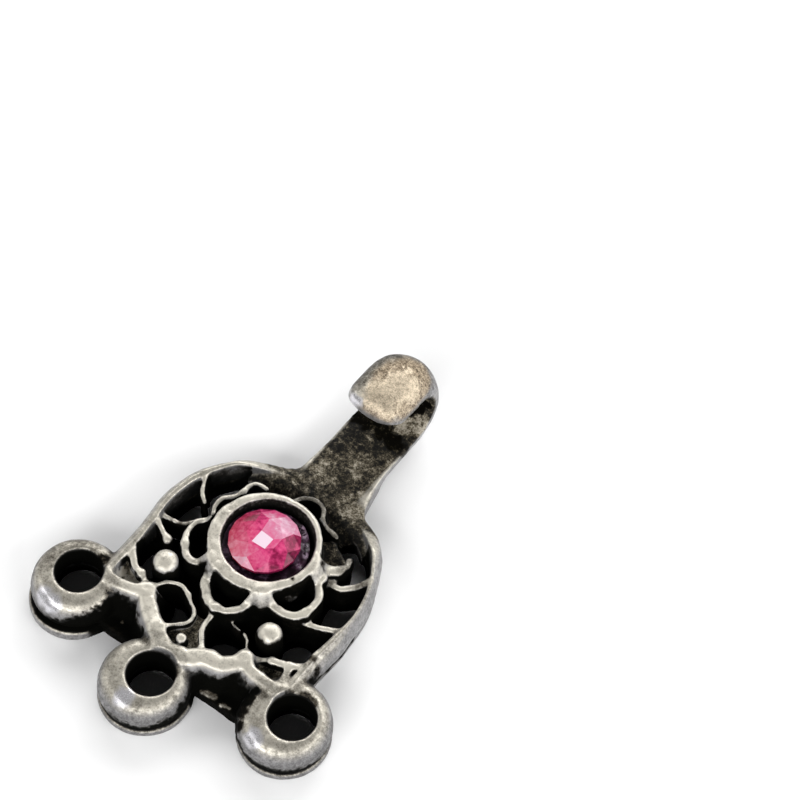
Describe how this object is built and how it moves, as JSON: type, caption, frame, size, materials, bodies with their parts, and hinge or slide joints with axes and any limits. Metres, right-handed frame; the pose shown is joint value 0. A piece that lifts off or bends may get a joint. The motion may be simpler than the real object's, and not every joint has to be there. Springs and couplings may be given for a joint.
{
  "type": "bodice hook",
  "caption": "Cast openwork hook for a laced bodice: a pierced plate with sewing loops, a turned-back hook and a pink stone in a raised collar.",
  "frame": {"origin": "on the flat back, straight below the middle of the stone's collar", "axes": "+Y towards the hook, along the length; +Z out of the face, away from the flat back; X across"},
  "size_m": [0.025, 0.0349, 0.008],
  "materials": {
    "metal": "antique silver, worn bright on the relief and black in the recesses",
    "cement": "glossy, dark purplish",
    "stone": "faceted pink glass with a foiled back"
  },
  "bodies": {
    "root": {"casting": "metal", "stone_cement": "cement", "stone": "stone"}
  },
  "joints": []
}
